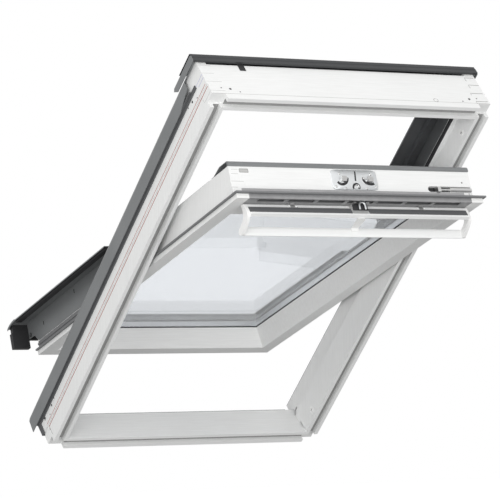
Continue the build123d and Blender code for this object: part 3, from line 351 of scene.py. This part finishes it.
seal_black = for_slot(rubber("black_rubber", (0.012, 0.012, 0.013, 1), 0.55), "black_rubber")
foam_grey = for_slot(rubber("grey_foam", (0.075, 0.077, 0.08, 1), 0.85), "grey_foam")
fin_grey = for_slot(rubber("grey_fin", (0.13, 0.132, 0.135, 1), 0.6), "black_rubber")
dress(seal_black, "stop_seal", "pane_seal", "glazing_gasket", "lower_cover_seals", "bottom_end_seal")
dress(fin_grey, "sash_fin")
dress(foam_grey, "side_seal_left", "side_seal_right", "vent_filter", "flap_seal")
lip_x, lip_low, lip_high, lip_n = 283.0, 65.0, 955.0, 74.9
outward = (0, 1, 0)
lip_runs = [[(-lip_x, lip_n, lip_low), (-lip_x, lip_n, lip_high)],
            [(lip_x, lip_n, lip_low), (lip_x, lip_n, lip_high)],
            [(-lip_x, lip_n, lip_low), (lip_x, lip_n, lip_low)],
            [(-lip_x, lip_n, lip_high), (lip_x, lip_n, lip_high)]]
skin("glazing_lip", [bead(run, outward, 12.0, 0.8, True) for run in lip_runs], "sash", seal_black)
# Painted shade: black beads over the slot holes and the ring hole in the lower cover webs stand for their shaded
# insides.
web_x = 338.0
web_cut_shade = []
for side in (-1, 1):
    web_cut_shade += [bead([(side * web_x, n - 5, s), (side * web_x, n + 5, s)], (side, 0, 0), 4.4, 0.3, True)
                 for n, s in ((88.0, 233.0), (71.0, 46.0))]
    web_cut_shade.append(turned([(6.0, 0.3), (4.0, 0.3)], (side * web_x, 67.0, -34.0), (side, 0, 0), True))
skin("web_cut_painted_shade", web_cut_shade, "sash", seal_black)
skin("hood_tab_notch", [bead([(-272, 101.5, 1179.4), (-272, 122.5, 1179.4)], end_face, 15.6, 0.1)], "frame",
     seal_black)

# Hinges, lock, bolt and screws
# Pressed steel and zinc castings with a bright zinc plating, slightly clouded.
def plating(name, light, dark, rough):
    finish = Finish(name, Metallic=1.0)
    cloud = finish.add("TexNoise", Vector=finish.place(), Scale=60.0, Detail=4.0)
    spots = finish.add("TexVoronoi", Vector=finish.place(), Scale=420.0)
    finish.set(Base_Color=finish.blend(cloud, light, dark), Roughness=spots * 0.12 + rough)
    finish.relief(cloud, 0.00005, 0.3)
    return finish.material


zinc = for_slot(plating("zinc_plating", (0.78, 0.78, 0.77, 1), (0.62, 0.62, 0.62, 1), 0.26), "zinc_steel")
bare_aluminium = for_slot(plating("satin_aluminium", (0.82, 0.83, 0.84, 1), (0.72, 0.73, 0.74, 1), 0.3),
                          "bare_aluminium")
dress(zinc, "hinge_frame_left", "hinge_frame_right", "hinge_sash_left", "hinge_sash_right", "frame_screws",
      "sash_screws", "lock_striker", "lock_case", "lock_clip", "lock_latch", "barrel_bolt", "bolt_sleeve",
      "flap_brackets", "hood_tray")
# Painted shade: a darker copy of the satin aluminium, standing in for the shade on the vent profile.
aluminium_painted_shade = for_slot(plating("aluminium_painted_shade", (0.52, 0.52, 0.525, 1), (0.38, 0.38, 0.385, 1), 0.45),
                          "bare_aluminium")
dress(bare_aluminium, "pane_spacer")
dress(aluminium_painted_shade, "vent_profile")
lock_pale = for_slot(plating("pale_zinc_plate", (0.86, 0.88, 0.89, 1), (0.78, 0.80, 0.81, 1), 0.34), "zinc_steel")
lock_face = sash_end + 3.0
lock_centre, lock_half = (3.0, 61.5), (63.0, 25.5)
# Painted shade: a near-black finish laid in the lock plate's slots, on the bolt slot's floor and behind the flap
# clip, where those recesses fall into shade.
slot_shade_paint = Finish("lock_slot_painted_shade", Base_Color=(0.02, 0.02, 0.022, 1), Roughness=0.6).material


def plate(rings, centre, half, corner, opened):
    """A plate with rounded corners, the curve |x / a|^p + |y / b|^p = 1, as (share of size, height) rings."""
    angle = np.linspace(0.0, 2 * math.pi, 97)
    share, height = np.asarray(rings, float).T[:, :, None]
    x = centre[0] + share * half[0] * np.sign(np.cos(angle)) * np.abs(np.cos(angle)) ** (2 / corner)
    n = centre[1] + share * half[1] * np.sign(np.sin(angle)) * np.abs(np.sin(angle)) ** (2 / corner)
    return in_scene(np.stack([x, n, height + 0 * x], -1), opened)


def swept(points, count=16):
    """A smooth path through a few (across, outward) points: a cubic in the distance along them."""
    points = np.asarray(points, float)
    along = np.concatenate([[0.0], np.cumsum(np.linalg.norm(np.diff(points, axis=0), axis=1))])
    places = np.linspace(0.0, along[-1], count)
    fits = [np.polyval(np.polyfit(along, column, min(3, len(points) - 1)), places) for column in points.T]
    return np.stack(fits + [np.full(count, lock_face)], -1)


plate_rings = [(1.0, sash_end), (1.0, lock_face - 0.5), (0.985, lock_face), (0.0, lock_face)]
lock_plate = skin("lock_plate", [plate(plate_rings, lock_centre, lock_half, 9.0, True)], "sash", lock_pale)
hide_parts("lock_case")
# Painted shade: dark beads along the slots in the lock plate.
cuts = [[(-45, 56), (-38, 50), (-28.6, 50.4), (-18.5, 58), (-16.5, 67)],
        [(28.7, 68), (29.5, 59), (40.5, 52), (56.4, 53.4)],
        [(8.1, 83), (5.4, 58.7)], [(-3, 38.5), (-1, 47), (6, 52), (12, 47), (11, 39)]]
skin("lock_slot_painted_shade", [bead(swept(path), end_face, wide, 0.25, True) for path, wide in zip(cuts, (6.5, 6.5, 4.2, 6.5))],
     "sash", slot_shade_paint)
hook = swept([(-1, 39), (1, 46), (6, 49), (10, 46), (9.5, 40)])
hook_lift = np.array([0, 0, 1.2])
knob = [(3.0, 0.0), (2.8, 0.8), (1.8, 1.1), (0.0, 1.2)]
skin("lock_hook", [bead(hook + hook_lift, end_face, 3.0, 2.2, True),
                   turned(knob, (-18.6, 65.5, lock_face), end_face, True),
                   turned(knob, (30.0, 66.0, lock_face), end_face, True)],
     "sash", zinc)
head = [(3.2, 0.0), (3.1, 0.9), (2.4, 1.5), (1.3, 1.6), (1.1, 0.9), (0.0, 0.9)]
spots = [(-37.4, 76.2), (50.2, 76.4), (-51.6, 43.5), (-24.3, 38.8), (34.3, 39.7), (60.0, 44.6)]
heads = [turned(head, (x, n, lock_face), end_face, True) for x, n in spots]
hinge_face = 342.5
hinge_spots = [(32.0, 517.0), (32.0, 577.0), (58.0, 520.0), (58.0, 574.0)]
for side in (-1, 1):
    heads += [turned(head, (side * hinge_face, n, s), (side, 0, 0), True) for n, s in hinge_spots]
sash_heads = skin("sash_screw_heads", heads, "sash", zinc)
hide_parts("sash_screws")
# Painted shade: a dark strip on the floor of the bolt slot.
slot_n, slot_up = 43.6, 1041.4
skin("bolt_slot_painted_shade", [bead([(214, slot_n, slot_up), (336, slot_n, slot_up)], end_face, 14.2, 0.1, True)], "sash",
     slot_shade_paint)
clip_up = 1062.0
clip_path = [(-2.5, -16.0), (-2.5, -4.0), (-1.0, 0.0), (3.0, 2.0), (8.5, 2.0), (12.5, 0.0), (14.0, -4.0),
             (14.0, -16.0)]
skin("flap_clip", [bead([(x, n, clip_up) for x, n in clip_path], end_face, 5.0, 1.2, True)], "sash",
     lock_pale)
# Painted shade: a dark plate behind the clip stands for the shaded cavity under the flap.
skin("clip_backing_painted_shade", [bead([(-20.0, -9.0, 1058.0), (21.0, -9.0, 1058.0)], end_face, 18.0, 1.0, True)], "sash",
     slot_shade_paint)

# Flap and handle bar
# Rolled aluminium with a glossy white lacquer, and white moulded ends.
def white_coat(name, colour, rough, coat):
    finish = Finish(name, Coat_Weight=coat, Coat_Roughness=0.12)
    cloud = finish.add("TexNoise", Vector=finish.place(), Scale=14.0, Detail=2.0)
    worn = tuple(channel * 0.96 for channel in colour[:3]) + (1.0,)
    finish.set(Base_Color=finish.blend(cloud, colour, worn), Roughness=cloud * 0.08 + rough)
    return finish.material


white_lacquer = for_slot(white_coat("white_lacquer", (0.84, 0.845, 0.84, 1), 0.3, 0.3), "white_metal")
white_moulding = for_slot(white_coat("white_moulding", (0.84, 0.84, 0.83, 1), 0.42, 0.0), "white_plastic")
dress(white_lacquer, "vent_flap", "handle_bar")
dress(white_moulding, "end_cap_left", "end_cap_right", "handle_bracket", "vent_end_blocks", "bolt_bushes")

# Glass
# Two clear float panes with a slightly cold tint, sealed into one unit.
clear_glass = Finish("clear_glass", Base_Color=(0.90, 0.915, 0.935, 1), Roughness=0.0, IOR=1.5,
                     Transmission_Weight=1.0)
pane_glass = for_slot(clear_glass.material, "window_glass")
dress(pane_glass, "inner_pane", "outer_pane")

# Studio
# A pale floor well below the window, soft light from the sky and a key from the upper left.
span = 12.0
floor_drop = 0.9
floor_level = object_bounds()[0][2] - floor_drop
floor_mesh = bpy.data.meshes.new("floor")
corners = [(-span, -span), (span, -span), (span, span), (-span, span)]
floor_mesh.from_pydata([(x, y, floor_level) for x, y in corners], [], [(0, 1, 2, 3)])
floor = bpy.data.objects.new("floor", floor_mesh)
bpy.context.scene.collection.objects.link(floor)
floor_mesh.materials.append(Finish("pale_floor", Base_Color=(0.95, 0.95, 0.95, 1), Roughness=0.9,
                                   Emission_Color=(1, 1, 1, 1), Emission_Strength=0.45).material)
floor.visible_diffuse = False
floor.visible_glossy = False

world = bpy.data.worlds.new("studio")
bpy.context.scene.world = world
world.use_nodes = True
sky = world.node_tree
background = sky.nodes["Background"]
path = sky.nodes.new("ShaderNodeLightPath")
where = sky.nodes.new("ShaderNodeTexCoord")
split = sky.nodes.new("ShaderNodeSeparateXYZ")
sky.links.new(where.outputs["Generated"], split.inputs[0])
fall = sky.nodes.new("ShaderNodeMapRange")
fall.inputs["From Min"].default_value = -0.6
fall.inputs["From Max"].default_value = 0.6
fall.inputs["To Min"].default_value = 0.34
fall.inputs["To Max"].default_value = 0.88
sky.links.new(split.outputs["Z"], fall.inputs["Value"])
seen = sky.nodes.new("ShaderNodeMath")
seen.operation = "MAXIMUM"
sky.links.new(path.outputs["Is Camera Ray"], seen.inputs[0])
sky.links.new(path.outputs["Is Transmission Ray"], seen.inputs[1])
level = sky.nodes.new("ShaderNodeMix")
level.data_type = "FLOAT"
level.inputs[3].default_value = 1.0
sky.links.new(seen.outputs[0], level.inputs[0])
sky.links.new(fall.outputs[0], level.inputs[2])
sky.links.new(level.outputs[0], background.inputs["Strength"])
background.inputs["Color"].default_value = (1.0, 1.0, 1.0, 1.0)


def soft_light(name, place, aim, size, watts):
    light = bpy.data.lights.new(name, "AREA")
    light.shape, light.size, light.energy = "SQUARE", size, watts
    lamp = bpy.data.objects.new(name, light)
    bpy.context.scene.collection.objects.link(lamp)
    forward = np.array(aim, float) - np.array(place, float)
    lamp.location = place
    lamp.rotation_euler = (math.atan2(math.hypot(forward[0], forward[1]), -forward[2]), 0.0,
                           math.atan2(-forward[0], forward[1]))


soft_light("key", (-3.4, -2.4, 3.0), (0.0, -0.3, 0.4), 2.2, 20.0)
soft_light("side", (-4.2, -3.6, 0.1), (0.0, -0.3, 0.3), 3.0, 110.0)
soft_light("fill", (-0.5, -5.4, 0.2), (0.0, -0.3, 0.4), 3.0, 100.0)

# Camera
# Placed where the photograph was taken from, with a long lens.
look_yaw = math.radians(30.70)
look_pitch = math.radians(1.26)
look_roll = math.radians(-0.20)
camera_place = (-3.9112, -6.9492, 0.2989)
lens_mm = 221.0
ahead = np.array([math.sin(look_yaw) * math.cos(look_pitch), math.cos(look_yaw) * math.cos(look_pitch),
                  math.sin(look_pitch)])
right = np.array([math.cos(look_yaw), -math.sin(look_yaw), 0.0])
up = np.cross(right, ahead)
right, up = (math.cos(look_roll) * right + math.sin(look_roll) * up,
             math.cos(look_roll) * up - math.sin(look_roll) * right)
camera_data = bpy.data.cameras.new("camera")
camera_data.lens = lens_mm
camera_data.sensor_width = 36.0
camera_data.clip_end = 60.0
camera = bpy.data.objects.new("camera", camera_data)
bpy.context.scene.collection.objects.link(camera)
turn = np.eye(4)
turn[:3, 0], turn[:3, 1], turn[:3, 2], turn[:3, 3] = right, up, -ahead, camera_place
camera.matrix_world = Matrix(turn.tolist())
bpy.context.scene.camera = camera
bpy.context.scene.view_settings.view_transform = "Standard"
